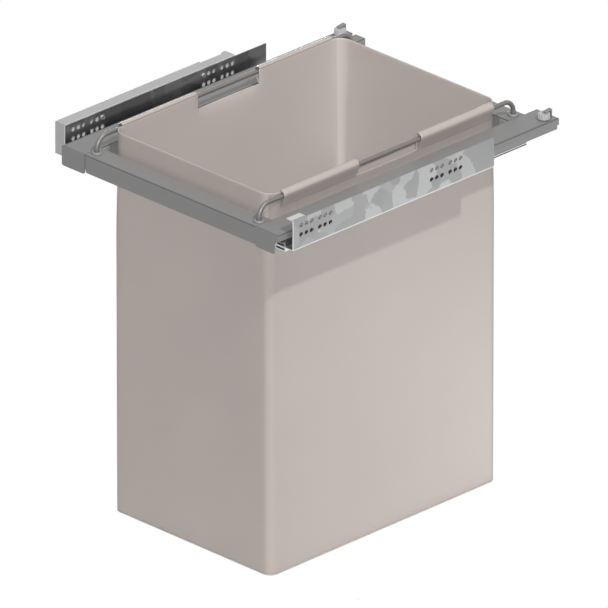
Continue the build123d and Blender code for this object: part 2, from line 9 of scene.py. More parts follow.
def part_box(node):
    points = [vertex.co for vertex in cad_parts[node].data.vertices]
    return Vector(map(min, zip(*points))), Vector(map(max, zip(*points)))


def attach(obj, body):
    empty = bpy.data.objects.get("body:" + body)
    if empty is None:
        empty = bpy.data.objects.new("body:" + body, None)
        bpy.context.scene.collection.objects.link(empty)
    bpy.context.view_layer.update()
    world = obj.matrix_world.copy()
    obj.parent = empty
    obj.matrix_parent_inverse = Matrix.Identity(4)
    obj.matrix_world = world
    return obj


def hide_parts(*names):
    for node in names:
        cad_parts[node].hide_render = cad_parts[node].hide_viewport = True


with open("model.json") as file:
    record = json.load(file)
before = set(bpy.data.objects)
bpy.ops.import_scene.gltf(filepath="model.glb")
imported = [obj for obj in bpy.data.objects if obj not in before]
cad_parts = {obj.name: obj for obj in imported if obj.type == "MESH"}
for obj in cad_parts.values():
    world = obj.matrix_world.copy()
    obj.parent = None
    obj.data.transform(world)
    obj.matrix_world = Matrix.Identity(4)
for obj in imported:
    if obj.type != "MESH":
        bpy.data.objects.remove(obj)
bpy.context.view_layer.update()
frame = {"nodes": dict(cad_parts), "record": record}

# The part's own dimensions, in metres: the driving ones of the CAD, and what follows from its nodes
MM = 0.001
WELD = 0.001 * MM  # points closer than this are one
FRAME_LOW, FRAME_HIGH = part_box("left_side_channel")
FRONT_Y = FRAME_LOW[1]
FRAME_TOP = FRAME_HIGH[2]
FRAME_LEFT, FRAME_RIGHT = FRAME_LOW[0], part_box("right_side_channel")[1][0]
MIDDLE_X = (FRAME_LEFT + FRAME_RIGHT) / 2
HALF_WIDTH = (FRAME_RIGHT - FRAME_LEFT) / 2
RAIL_LOW, RAIL_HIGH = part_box("right_cabinet_rail")
MIDDLE_RAIL_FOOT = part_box("right_middle_rail")[0][2]
BAG_LOW, BAG_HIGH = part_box("bag_shell")
BAG_MIDDLE = Vector(((BAG_LOW[0] + BAG_HIGH[0]) / 2, (BAG_LOW[1] + BAG_HIGH[1]) / 2))
BAG_HALF = Vector(((BAG_HIGH[0] - BAG_LOW[0]) / 2, (BAG_HIGH[1] - BAG_LOW[1]) / 2))
GAP_LOW, GAP_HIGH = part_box("front_left_sleeve")[1][1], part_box("rear_left_sleeve")[0][1]
SIDES = ((-1, "left"), (1, "right"))
ENDS = ("front", "rear")

# Bag
BAG_WALL = 1.6 * MM
BAG_CORNER = 18.0 * MM  # at the rim
BAG_LOW_CORNER = 12.5 * MM  # down to the base
CORNER_OPENS_FROM = 0.72  # share of the rim's height at which the corners begin to open out
CORNER_OPENS_OVER = 0.25  # and the share over which they do
BAG_FOOT = 1.6 * MM  # rounding between the walls and the base
BAG_SAG = 1.2 * MM  # how far a wall's middle hangs in
SAG_RIPPLE = 0.45  # how far the sag differs from place to place, as a share of it
SAG_RIPPLE_ACROSS, SAG_RIPPLE_UP = 9.0, 5.0  # ripples in a metre
CUT_TOP = FRAME_TOP + 5.5 * MM  # where the side walls end under the rods
CUT_LIP = 2.2 * MM  # how far their free edge leans out between the sleeves
CUT_LIP_DEPTH = 26.0 * MM  # how far down the lean begins
BAG_EDGE = 0.45 * MM  # rounding of the cloth's edges
BOARD_EDGE = 0.5 * MM
STRAIGHT_STEPS = 12  # columns from a corner to a wall's middle, or to the handle gap
GAP_STEPS = 10  # columns across the handle gap
WALL_END = 1.0  # among the places along a wall, it and its negative stand for the wall's two ends
CORNER_STEPS = 10
FOOT_STEPS = 4
WALL_STEPS = 40  # rows from the foot to the cut-outs
RIM_STEPS = 6  # and on to the rim
SLEEVE_CLOTH = 1.15 * MM
SLEEVE_SLACK = 0.3 * MM
SLEEVE_SLACK_FROM = 20.0 * MM  # height over the seam from which the slack is full
SLEEVE_WAVES = 28.0  # waves of the slack in a metre
SLEEVE_STATIONS = 28
# The sleeve's outer side, outward from the wall's outer face and up from the seam, in millimetres
SLEEVE_PATH = (
    (-0.95, 16.6), (-1.62, 18.6), (-1.66, 20.2), (-1.25, 21.6), (-0.15, 22.45), (1.7, 22.8), (3.9, 22.3),
    (5.8, 21.0), (7.2, 19.0), (7.85, 16.8), (7.75, 14.8), (7.0, 12.0), (5.6, 8.6), (4.0, 5.2), (2.3, 1.9),
    (1.35, 0.2), (0.9, -0.6),
)

# Rods and their bushings
ROD_RADIUS = 3.0 * MM
ROD_BEND = 16.0 * MM
ROD_BEND_STEPS = 12
ROD_SIDES = 24
ROD_TIP = 0.5 * MM  # chamfer at a leg's end
BUSHING_BORE = 3.06 * MM
BUSHING_NECK = 5.2 * MM
BUSHING_FLANGE = 7.3 * MM
BUSHING_FLANGE_HEIGHT = 2.8 * MM
BUSHING_SIDES = 32
BUSHING_EDGE = 0.12 * MM

# Edge rounding of the CAD nodes: pressed sheet, and rails with the moulded spacer
PRESSED_EDGE = 0.25 * MM
RAIL_EDGE = 0.2 * MM

# Where the materials change their tone, and where painted shade and highlights lie
THREAD_PITCH = 1.1 * MM
HEM_SHADE_BELOW = 11 * MM  # how far below the frame's top the painted shade on the sides' cloth reaches
RIM_SHADE_WIDTH = 2.5 * MM  # width of the painted shade along the frame's top edges
HIGHLIGHT_FRONT = 1.0 * MM  # painted highlight on the cabinet rails' zinc this far from their front
HIGHLIGHT_BEND = 6.5 * MM  # and this far up from the bottom of their fold
LUG_INSET = 2.0 * MM  # the right rail's lug lies further in than this from its outer face
HEM_SHADE_HEIGHT = 1.5 * MM  # height of the painted shade on the middle rails' bottom hem
HEM_HIGHLIGHT_LINE = 1.3 * MM  # painted highlight line over it
DRAWN_SCALE = (900.0, 14.0, 900.0)  # lines in a metre, across and along a drawn piece
SPANGLE_SCALE = 42.0  # cells in a metre
SPANGLE_TEAR = 0.016  # how far their edges are torn, in metres

# Tones that materials mix in, as linear colour, painted shade and highlights among them
# painted shade on the frame's bends
BEND_SHADE = (0.05, 0.05, 0.051)
RIM_SHADE_SHARE = 0.42  # how far the painted shade along the frame's top edges goes towards that of the bends
ZINC_TONES = ((0.0, (0.318, 0.320, 0.322)), (0.55, (0.350, 0.352, 0.354)), (0.68, (0.440, 0.443, 0.443)))
ZINC_GREY = (0.36, 0.36, 0.36)
# painted highlight on the cabinet rails' zinc
ZINC_HIGHLIGHT = (0.64, 0.64, 0.64)
# painted highlight line and painted shade on the middle rails' hem
HEM_HIGHLIGHT = (0.62, 0.62, 0.62)
HEM_SHADE = (0.03, 0.03, 0.03)

# Camera: the photograph's own view, near enough without perspective
AZIMUTH = 45.0
ELEVATION = 25.0
LENS = 1600.0
SENSOR = 36.0
VIEW_WIDTH = 0.7431  # real width that the picture shows at the hamper
AIM_FROM_FRONT = 0.2308
AIM_BELOW_TOP = 0.2279

# Light: levels at which a white face turned to the lamp renders as that share of white; angles in degrees
SKY_LEVEL = 0.12
MIRROR_LEVEL = 0.9
CAMERA_LEVEL = 1.0
KEY_TOWARDS = Vector((0.575, -0.042, 0.817))
KEY_LEVEL = 0.47
KEY_ANGLE = 2.5
FILL_LEVEL = 0.84
FILL_ANGLE = 0.5
TOP_TOWARDS = Vector((0.0, 0.0, 1.0))
TOP_LEVEL = 0.22
TOP_ANGLE = 60.0
FRONT_TOWARDS = Vector((0.0, -1.0, 0.05))
FRONT_LEVEL = 0.045
FRONT_ANGLE = 20.0
BACK_TOWARDS = Vector((-0.84, 0.54, -0.08))
BACK_LEVEL = 0.66
BACK_ANGLE = 8.0
SUN_DISTANCE = 3.0
SHEEN_TOWARDS = Vector((0.64, 0.64, -0.42))
SHEEN_AIM = Vector((0.145, 0.20, 0.13))
SHEEN_DISTANCE = 0.7
SHEEN_SIZE = 0.35
SHEEN_POWER = 1.2  # watts

# Floor, far enough down to clear every pose
FLOOR_Z = -1.2
FLOOR_HALF = 1.6


# Meshes

def make_object(name, vertices, faces, smooth=True, weld=0.0):
    mesh = bpy.data.meshes.new(name)
    mesh.from_pydata([tuple(v) for v in vertices], [], faces)
    mesh.validate()
    mesh.update()
    piece = bpy.data.objects.new(name, mesh)
    bpy.context.scene.collection.objects.link(piece)
    skin = bmesh.new()
    skin.from_mesh(mesh)
    if weld:
        bmesh.ops.remove_doubles(skin, verts=skin.verts, dist=weld)
    bmesh.ops.recalc_face_normals(skin, faces=skin.faces)
    skin.to_mesh(mesh)
    skin.free()
    for polygon in mesh.polygons:
        polygon.use_smooth = smooth
    return piece


def dress(piece, body, slot_name, surface, *replaced):
    """Gives a piece its material and body, and hides the CAD nodes that it stands for; the slot name is not
    used.
    """
    piece.data.materials.clear()
    piece.data.materials.append(surface)
    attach(piece, body)
    if replaced:
        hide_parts(*replaced)


def add_bevel(piece, width, segments=2, angle=30.0):
    bevel = piece.modifiers.new("edge_rounding", "BEVEL")
    bevel.width = width
    bevel.segments = segments
    bevel.limit_method = "ANGLE"
    bevel.angle_limit = math.radians(angle)
    bevel.harden_normals = False


def ring_quad(row, k, count):
    """The face between points k and k + 1 of a row and of the next, each a loop of count points."""
    low, after = row * count, (k + 1) % count
    high = low + count
    return (low + k, low + after, high + after, high + k)


def sweep(name, rings, closed_ends=True, weld=0.0):
    """Skin over rings of equal length; each ring is a closed loop of points."""
    count = len(rings[0])
    vertices = [point for ring in rings for point in ring]
    faces = [ring_quad(row, k, count) for row in range(len(rings) - 1) for k in range(count)]
    if closed_ends:
        last = (len(rings) - 1) * count
        faces.append(tuple(reversed(range(count))))
        faces.append(tuple(range(last, last + count)))
    return make_object(name, vertices, faces, weld=weld)


def circle(centre, across, up, radius, sides):
    turns = [2 * math.pi * k / sides for k in range(sides)]
    return [centre + across * (radius * math.cos(turn)) + up * (radius * math.sin(turn)) for turn in turns]


# Bag

def bag_stations():
    """The wall's columns in order, as (axis of the outward normal, its sign, place along the wall).

    A corner's are ("corner", its turn, 0).
    """
    reach = BAG_HALF - Vector((BAG_CORNER, BAG_CORNER))
    gap = [y - BAG_MIDDLE.y for y in (GAP_LOW, GAP_HIGH)]
    inner = range(1, STRAIGHT_STEPS)
    flat = [reach.x * (k / STRAIGHT_STEPS - 1) for k in range(1, 2 * STRAIGHT_STEPS)]
    places_x = [-WALL_END] + flat + [WALL_END]
    low = [-reach.y + (gap[0] + reach.y) * k / STRAIGHT_STEPS for k in inner]
    middle = [gap[0] + (gap[1] - gap[0]) * k / GAP_STEPS for k in range(GAP_STEPS + 1)]
    high = [gap[1] + (reach.y - gap[1]) * k / STRAIGHT_STEPS for k in inner]
    places_y = [-WALL_END] + low + middle + high + [WALL_END]

    def corner(start):
        turns = [math.radians(start + 90 * k / CORNER_STEPS) for k in range(1, CORNER_STEPS)]
        return [("corner", turn, 0.0) for turn in turns]

    stations = [("x", 1, place) for place in places_y] + corner(0)
    stations += [("y", 1, place) for place in reversed(places_x)] + corner(90)
    stations += [("x", -1, place) for place in reversed(places_y)] + corner(180)
    return stations + [("y", -1, place) for place in places_x] + corner(270)


def bag_column(station, radius):
    """Point of the wall's outer face, seen from above, and its outward normal."""
    kind, sign, place = station
    if kind == "corner":
        turn = sign  # a corner's station has its turn in this place
        normal = Vector((math.cos(turn), math.sin(turn)))
        centre = Vector((
            math.copysign(BAG_HALF.x - radius, normal.x),
            math.copysign(BAG_HALF.y - radius, normal.y),
        ))
        return BAG_MIDDLE + centre + normal * radius, normal
    across = 1 if kind == "x" else 0
    if abs(place) == WALL_END:
        place = math.copysign(BAG_HALF[across] - radius, place)
    normal = Vector((sign, 0)) if kind == "x" else Vector((0, sign))
    point = Vector((sign * BAG_HALF.x, place)) if kind == "x" else Vector((place, sign * BAG_HALF.y))
    return BAG_MIDDLE + point, normal


def corner_radius(height):
    """The corners are tight at the base and open out towards the rods."""
    share = max(0.0, min(1.0, (height / BAG_HIGH[2] - CORNER_OPENS_FROM) / CORNER_OPENS_OVER))
    return BAG_LOW_CORNER + (BAG_CORNER - BAG_LOW_CORNER) * share * share * (3 - 2 * share)


def is_side(normal):
    """True on the bag's left and right walls, without their corners."""
    return abs(normal.x) > 0.999


def is_flat(normal):
    """True on all four walls, without their corners."""
    return is_side(normal) or abs(normal.y) > 0.999


def sag_at(point, normal, height):
    """How far the wall hangs in, between its corners, the base and the rim."""
    rise = (height - BAG_LOW[2]) / (BAG_HIGH[2] - BAG_LOW[2])
    if not is_flat(normal):
        return 0.0
    across = 1 if is_side(normal) else 0
    along = (point - BAG_MIDDLE)[across] / (BAG_HALF[across] - BAG_CORNER)
    if abs(along) >= 1:
        return 0.0
    span = math.cos(along * math.pi / 2) ** 1.5
    ripple = noise.noise(Vector((*(point * SAG_RIPPLE_ACROSS), height * SAG_RIPPLE_UP)))
    return span * math.sin(math.pi * rise) ** 0.8 * BAG_SAG * (1.0 + SAG_RIPPLE * ripple)


def lip_at(point, normal, height):
    """How far the wall leans out, just under the handle cut-outs."""
    if not (is_side(normal) and GAP_LOW < point.y < GAP_HIGH):
        return 0.0
    share = (point.y - GAP_LOW) / (GAP_HIGH - GAP_LOW)
    rise = max(0.0, 1.0 - max(0.0, CUT_TOP - height) / CUT_LIP_DEPTH)
    return CUT_LIP * math.sin(math.pi * share) ** 0.4 * rise * rise


def bag_rows():
    """Rows of the shell's outer face, from the middle of its base up to the rim.

    A row's points are (place from above, normal, height, share of the thickness that points down).
    """
    stations = bag_stations()
    bottom = BAG_LOW[2]
    low_loop = [bag_column(station, BAG_LOW_CORNER) for station in stations]
    rows = [
        [(BAG_MIDDLE + (p - BAG_MIDDLE) * share, normal, bottom, 1.0) for p, normal in low_loop]
        for share in (0.0, 0.5, 0.9)
    ]
    for k in range(FOOT_STEPS + 1):
        turn = math.pi / 2 * k / FOOT_STEPS
        inset, rise = BAG_FOOT * (1 - math.sin(turn)), BAG_FOOT * (1 - math.cos(turn))
        rows.append([(p - normal * inset, normal, bottom + rise, math.cos(turn)) for p, normal in low_loop])
    foot_top = bottom + BAG_FOOT
    heights = [foot_top + (CUT_TOP - foot_top) * k / WALL_STEPS for k in range(1, WALL_STEPS + 1)]
    heights += [CUT_TOP + (BAG_HIGH[2] - CUT_TOP) * k / RIM_STEPS for k in range(1, RIM_STEPS + 1)]
    for height in heights:
        loop = [bag_column(station, corner_radius(height)) for station in stations]
        rows.append([
            (p + normal * (lip_at(p, normal, height) - sag_at(p, normal, height)), normal, height, 0.0)
            for p, normal in loop
        ])
    return rows


def skin_points(rows, depth):
    """The rows' points, moved in from the outer face by a depth."""
    points = []
    for row in rows:
        for p, normal, height, down in row:
            inner = p - normal * depth * math.sqrt(1 - down * down)
            points.append(Vector((*inner, height + depth * down)))
    return points


def is_cut_out(first, second):
    """True between two neighbours of a row above the seam, where a side wall's handle gap is."""
    if first[2] < CUT_TOP - WELD or not (is_side(first[1]) and is_side(second[1])):
        return False
    return GAP_LOW < (first[0].y + second[0].y) / 2 < GAP_HIGH


def build_bag_body():
    """Thin shell that hangs from its rim: rounded foot, base, walls that sag a little, handles cut out."""
    rows = bag_rows()
    count = len(rows[0])
    total = len(rows) * count
    faces, edges = [], set()
    for row, points in enumerate(rows[:-1]):
        for k in range(count):
            if is_cut_out(points[k], points[(k + 1) % count]):
                continue
            quad = ring_quad(row, k, count)
            faces.append(quad)
            faces.append(tuple(total + v for v in reversed(quad)))
            edges.update(zip(quad, quad[1:] + quad[:1]))
    # The rim joins the two skins. The first row is left out: it is all one point, the base's middle.
    for a, b in edges:
        if (b, a) not in edges and a >= count:
            faces.append((b, a, total + a, total + b))
    skins = skin_points(rows, 0.0) + skin_points(rows, BAG_WALL)
    body = make_object("bag_body", skins, faces, weld=WELD)
    add_bevel(body, BAG_EDGE, 2, 50.0)
    dress(body, "bag", "bag_cloth", MATERIALS["bag_cloth"], "bag_shell")
    # The lining is the skin that faces the bag's middle; its colour is a lighter copy of the cloth, painted
    # light on the shaded inside.
    body.data.materials.append(MATERIALS["bag_lining_lit"])
    middle = Vector((*BAG_MIDDLE, BAG_LOW[2] + 5 * BAG_WALL))
    for polygon in body.data.polygons:
        polygon.material_index = int(polygon.normal.dot(middle - polygon.center) > 0)


def build_base_board():
    """Stiff board under the bag, with rounded corners and edges."""
    low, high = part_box("bag_base_panel")
    loop = [bag_column(station, BAG_LOW_CORNER) for station in bag_stations()]
    edge, bulge = BOARD_EDGE, 0.3 * BOARD_EDGE
    rings = []
    for inset, height in (
        (edge, low[2]), (bulge, low[2] + bulge), (0, low[2] + edge), (0, high[2] - edge),
        (bulge, high[2] - bulge), (edge, high[2]),
    ):
        rings.append([Vector((*(p - normal * inset), height)) for p, normal in loop])
    board = sweep("bag_base_board", rings)
    dress(board, "bag", "base_board", MATERIALS["base_board"], "bag_base_panel")


def inset_path(points, depth):
    """The open path moved to its right-hand side."""
    result = []
    for k, point in enumerate(points):
        before, after = points[max(k - 1, 0)], points[min(k + 1, len(points) - 1)]
        heading = (after - before).normalized()
        result.append(point + Vector((heading.y, -heading.x)) * depth)
    return result


def close_with_strips(sleeve, side_count):
    """Closes both ends with strips across the cloth, so that the smoothing keeps its thickness."""
    caps = bmesh.new()
    caps.from_mesh(sleeve.data)
    caps.faces.ensure_lookup_table()
    bmesh.ops.delete(caps, geom=caps.faces[-2:], context="FACES_ONLY")
    caps.verts.ensure_lookup_table()
    count = 2 * side_count
    for first in (0, SLEEVE_STATIONS * count):
        for k in range(side_count - 1):
            corners = (k, k + 1, count - 2 - k, count - 1 - k)
            caps.faces.new([caps.verts[first + corner] for corner in corners])
    bmesh.ops.recalc_face_normals(caps, faces=caps.faces)
    for face in caps.faces:
        face.smooth = True
    caps.to_mesh(sleeve.data)
    caps.free()


def build_sleeve(side, word, end):
    """The wall's cloth carried over the rod and sewn back on to the wall, slack between its ends."""
    name = f"{end}_{word}_sleeve"
    low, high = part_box(name)
    outer = [Vector(point) * MM for point in SLEEVE_PATH]
    outline = outer + inset_path(outer, SLEEVE_CLOTH)[::-1]
    wall_x = BAG_HIGH[0] if side > 0 else BAG_LOW[0]
    rings = []
    for k in range(SLEEVE_STATIONS + 1):
        share = k / SLEEVE_STATIONS
        y = low[1] + (high[1] - low[1]) * share
        wave = noise.noise(Vector((wall_x * 3.0, y * SLEEVE_WAVES, 0.7))) * math.sin(math.pi * share)
        ring = []
        for point in outline:
            slack = SLEEVE_SLACK * wave * max(0.0, min(1.0, point.y / SLEEVE_SLACK_FROM))
            out = point.x + (slack if point.x > 0 else 0)
            ring.append(Vector((wall_x + side * out, y, CUT_TOP + point.y - abs(slack))))
        rings.append(ring)
    sleeve = sweep(f"{name}_cloth", rings)
    close_with_strips(sleeve, len(outer))
    soften = sleeve.modifiers.new("softness", "SUBSURF")
    soften.levels = 1
    soften.render_levels = 1
    dress(sleeve, "bag", "bag_cloth", MATERIALS["bag_cloth"], name)


# Rods and bushings

def build_rod(word):
    """Round rod with a bend and a leg at each end."""
    name = f"{word}_hanging_rod"
    low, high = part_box(name)
    x = (low[0] + high[0]) / 2
    axis_z = high[2] - ROD_RADIUS
    path = []
    for y, towards in ((low[1] + ROD_RADIUS, 1), (high[1] - ROD_RADIUS, -1)):
        leg = [
            (Vector((x, y, low[2])), Vector((0, 0, 1)), ROD_RADIUS - ROD_TIP),
            (Vector((x, y, low[2] + ROD_TIP)), Vector((0, 0, 1)), ROD_RADIUS),
        ]
        for k in range(ROD_BEND_STEPS + 1):
            turn = math.pi / 2 * k / ROD_BEND_STEPS
            point = Vector((
                x,
                y + towards * ROD_BEND * (1 - math.cos(turn)),
                axis_z - ROD_BEND * (1 - math.sin(turn)),
            ))
            leg.append((point, Vector((0, towards * math.sin(turn), math.cos(turn))), ROD_RADIUS))
        path.append(leg)
    rear_leg = [(point, -direction, radius) for point, direction, radius in reversed(path[1])]
    rings = []
    for point, direction, radius in path[0] + rear_leg:
        across = Vector((1, 0, 0))
        rings.append(circle(point, across, across.cross(direction), radius, ROD_SIDES))
    rod = sweep(f"{name}_round", rings)
    dress(rod, "bag", "rod_steel", MATERIALS["rod_steel"], name)


def build_bushing(word, end):
    """Turned bushing: neck, flange with a rounded rim and a countersunk bore."""
    name = f"{end}_{word}_bushing"
    low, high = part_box(name)
    centre = Vector(((low[0] + high[0]) / 2, (low[1] + high[1]) / 2, 0.0))
    top, seat, foot = high[2], high[2] - BUSHING_FLANGE_HEIGHT, low[2]
    # Rounding and countersink, from the bore up the outside and over the top
    profile = (
        (BUSHING_BORE, foot),
        (BUSHING_NECK - 0.4 * MM, foot),
        (BUSHING_NECK, foot + 0.4 * MM),
        (BUSHING_NECK, seat),
        (BUSHING_FLANGE - 0.2 * MM, seat),
        (BUSHING_FLANGE, seat + 0.4 * MM),
        (BUSHING_FLANGE, top - 1.3 * MM),
        (BUSHING_FLANGE - 0.3 * MM, top - 0.6 * MM),
        (BUSHING_FLANGE - 1.0 * MM, top - 0.15 * MM),
        (BUSHING_FLANGE - 1.8 * MM, top),
        (BUSHING_BORE + 1.2 * MM, top),
        (BUSHING_BORE + 0.5 * MM, top - 0.3 * MM),
        (BUSHING_BORE, top - 1.0 * MM),
    )
    across, up = Vector((1, 0, 0)), Vector((0, 1, 0))
    rings = [circle(centre + Vector((0, 0, z)), across, up, radius, BUSHING_SIDES) for radius, z in profile]
    bushing = sweep(f"{name}_turned", rings + rings[:1], closed_ends=False, weld=WELD)
    add_bevel(bushing, BUSHING_EDGE, 1, 50.0)
    dress(bushing, "frame", "bushing_plastic", MATERIALS["bushing_plastic"], name)


# Materials

class Surface:
    """A Principled material whose colour, roughness and bump come from its own nodes."""

    def __init__(self, name, roughness=0.5, metallic=0.0):
        self.material = bpy.data.materials.new(name)
        self.material.use_nodes = True
        self.nodes = self.material.node_tree.nodes
        self.links = self.material.node_tree.links
        self.shader = self.nodes["Principled BSDF"]
        self.shader.inputs["Roughness"].default_value = roughness
        self.shader.inputs["Metallic"].default_value = metallic
        self.place = self.nodes.new("ShaderNodeTexCoord").outputs["Object"]

    def feed(self, socket, value):
        """Gives an input its value: a number, a tone or another node's output."""
        if isinstance(value, (int, float)):
            socket.default_value = value
        elif isinstance(value, tuple):
            socket.default_value = (*value, 1.0)
        else:
            self.links.new(value, socket)

    def parts(self, vector):
        """X, Y and Z of a vector."""
        node = self.nodes.new("ShaderNodeSeparateXYZ")
        self.links.new(vector, node.inputs["Vector"])
        return node.outputs

    def position(self):
        """X, Y and Z of the place on the piece."""
        return self.parts(self.place)

    def facing(self):
        """X, Y and Z of the surface's normal."""
        return self.parts(self.nodes.new("ShaderNodeNewGeometry").outputs["Normal"])

    def scaled(self, scale):
        mapping = self.nodes.new("ShaderNodeMapping")
        mapping.inputs["Scale"].default_value = scale
        self.links.new(self.place, mapping.inputs["Vector"])
        return mapping.outputs["Vector"]

    def noise_node(self, scale, detail, roughness, vector=None):
        node = self.nodes.new("ShaderNodeTexNoise")
        node.inputs["Scale"].default_value = scale
        node.inputs["Detail"].default_value = detail
        node.inputs["Roughness"].default_value = roughness
        self.links.new(vector or self.place, node.inputs["Vector"])
        return node

    def noise(self, scale, detail=3.0, roughness=0.5, vector=None):
        return self.noise_node(scale, detail, roughness, vector).outputs["Fac"]

    def ramp(self, value, stops, interpolation="LINEAR"):
        """Colour ramp: stops are (position, grey level or colour)."""
        node = self.nodes.new("ShaderNodeValToRGB")
        node.color_ramp.interpolation = interpolation
        elements = node.color_ramp.elements
        while len(elements) < len(stops):
            elements.new(0.5)
        for element, (position, colour) in zip(elements, stops):
            element.position = position
            colour = (colour,) * 3 if isinstance(colour, float) else colour
            element.color = (*colour, 1.0)
        self.links.new(value, node.inputs["Fac"])
        return node.outputs["Color"]

    def math(self, operation, first, second, clamp=False):
        node = self.nodes.new("ShaderNodeMath")
        node.operation = operation
        node.use_clamp = clamp
        self.feed(node.inputs[0], first)
        self.feed(node.inputs[1], second)
        return node.outputs["Value"]

    def size(self, value):
        """The value without its sign."""
        node = self.nodes.new("ShaderNodeMath")
        node.operation = "ABSOLUTE"
        self.feed(node.inputs[0], value)
        return node.outputs["Value"]

    def wave(self, value, turns):
        """Sine wave with so many radians to the metre."""
        node = self.nodes.new("ShaderNodeMath")
        node.operation = "SINE"
        self.feed(node.inputs[0], self.math("MULTIPLY", value, turns))
        return node.outputs["Value"]

    def vector_math(self, operation, first, second):
        node = self.nodes.new("ShaderNodeVectorMath")
        node.operation = operation
        self.feed(node.inputs[0], first)
        self.feed(node.inputs["Scale" if operation == "SCALE" else 1], second)
        return node.outputs["Vector"]

    def mix(self, factor, first, second):
        node = self.nodes.new("ShaderNodeMix")
        node.data_type = "RGBA"
        # Of this node's inputs, 6 and 7 are the two colours.
        self.feed(node.inputs["Factor"], factor)
        self.feed(node.inputs[6], first)
        self.feed(node.inputs[7], second)
        return node.outputs[2]

    def tones(self, colour, spread, scale, detail=3.0):
        """The colour, lighter and darker by the given spread in soft patches."""
        stops = ((0.3, shaded(colour, 1.0 - spread)), (0.7, shaded(colour, 1.0 + spread)))
        return self.ramp(self.noise(scale, detail), stops)

    def colour(self, value):
        self.feed(self.shader.inputs["Base Color"], value)

    def rough(self, value):
        self.feed(self.shader.inputs["Roughness"], value)

    def bump(self, height, strength, distance):
        node = self.nodes.new("ShaderNodeBump")
        node.inputs["Strength"].default_value = strength
        node.inputs["Distance"].default_value = distance
        self.links.new(height, node.inputs["Height"])
        self.links.new(node.outputs["Normal"], self.shader.inputs["Normal"])

    def set(self, **levels):
        for name, value in levels.items():
            self.shader.inputs[name.replace("_", " ")].default_value = value


def shaded(colour, share):
    """The colour, so many times as bright."""
    return tuple(min(1.0, c * share) for c in colour)


def hem_shade_factor(surface):
    """1 on the sides' cloth by the hem, where painted shade goes, falling to 0 where the sleeves turn up to
    the sky.
    """
    facing = surface.facing()
    by_hem = surface.math("GREATER_THAN", surface.position()["Z"], FRAME_TOP - HEM_SHADE_BELOW)
    sideways = surface.math("GREATER_THAN", surface.size(facing["X"]), 0.6)
    not_up = surface.math("MULTIPLY", surface.math("SUBTRACT", 0.45, facing["Z"]), 2.5, clamp=True)
    return surface.math("MULTIPLY", surface.math("MULTIPLY", by_hem, sideways), not_up)


def bag_cloth(name, colour, hem_shade_share=None, rear_light_share=None):
    """Coated woven cloth: fine square weave, soft patches of tone, a broad satin sheen.

    The shares set the painted shade on its sides by the hem and the painted light on its rear panel, as
    brightness against the rest.
    """
    surface = Surface(name, roughness=0.42)
    tone = surface.tones(colour, 0.02, 9.0)
    if hem_shade_share:
        # painted shade on the sides' cloth by the hem and on the sleeves' sideways flanks
        tone = surface.mix(hem_shade_factor(surface), tone, shaded(colour, hem_shade_share))
    if rear_light_share:
        # painted light on the rear panel's inner face
        at_rear = surface.math("LESS_THAN", surface.facing()["Y"], -0.5)
        tone = surface.mix(at_rear, tone, shaded(colour, rear_light_share))
    surface.colour(tone)
    turns = 2 * math.pi / THREAD_PITCH
    place = surface.position()
    weft = surface.wave(surface.math("ADD", place["X"], place["Y"]), turns)
    warp = surface.wave(place["Z"], turns)
    surface.bump(surface.math("MULTIPLY", weft, warp), 0.12, 0.10 * MM)
    surface.set(Specular_IOR_Level=0.5, Sheen_Weight=0.08, Sheen_Roughness=0.5)
    return surface.material


def bend_shade_factor(surface):
    """1 where the surface faces half way between two main directions, as the outside of a bend does; there
    the frame's paint gets painted shade.
    """
    up = surface.size(surface.facing()["Z"])
    flat = surface.math("MULTIPLY", up, up)
    slope = surface.math("MULTIPLY", flat, surface.math("SUBTRACT", 1.0, flat))
    return surface.math("MULTIPLY", slope, 4.0, clamp=True)


def off_middle(surface):
    """How far the place is to the left or right of the frame's middle."""
    return surface.size(surface.math("SUBTRACT", surface.position()["X"], MIDDLE_X))


def on_top(surface):
    """1 where the surface faces up."""
    return surface.math("GREATER_THAN", surface.facing()["Z"], 0.9)


def rim_shade_factor(surface):
    """Part way to 1 on the frame's top, along its front and its two outer edges, where painted shade goes.
    """
    at_side = surface.math("GREATER_THAN", off_middle(surface), HALF_WIDTH - RIM_SHADE_WIDTH)
    at_front = surface.math("LESS_THAN", surface.position()["Y"], FRONT_Y + RIM_SHADE_WIDTH)
    share = surface.math("MULTIPLY", on_top(surface), RIM_SHADE_SHARE)
    return surface.math("MULTIPLY", surface.math("MAXIMUM", at_side, at_front), share)


def frame_paint():
    """Grey powder coat with orange-peel grain, and painted shade on the bends and along the top edges."""
    surface = Surface("frame_paint", roughness=0.52)
    tone = surface.tones((0.206, 0.203, 0.202), 0.03, 14.0)
    painted_shade = surface.math("MAXIMUM", bend_shade_factor(surface), rim_shade_factor(surface))
    # painted shade on the bends and along the top edges
    surface.colour(surface.mix(painted_shade, tone, BEND_SHADE))
    surface.bump(surface.noise(1400.0, 2.0), 0.12, 0.05 * MM)
    surface.set(Specular_IOR_Level=0.45)
    return surface.material


def highlight_factor(surface):
    """1 where the zinc gets a painted highlight: the rails' front edges, their lower bend and the lug's
    top.
    """
    place = surface.position()
    at_front = surface.math("LESS_THAN", place["Y"], RAIL_LOW[1] + HIGHLIGHT_FRONT)
    at_bend = surface.math("LESS_THAN", place["Z"], RAIL_LOW[2] + HIGHLIGHT_BEND)
    inward = surface.math("LESS_THAN", off_middle(surface), RAIL_HIGH[0] - MIDDLE_X - LUG_INSET)
    on_lug = surface.math("MULTIPLY", inward, on_top(surface))
    return surface.math("MAXIMUM", surface.math("MAXIMUM", at_front, at_bend), on_lug)


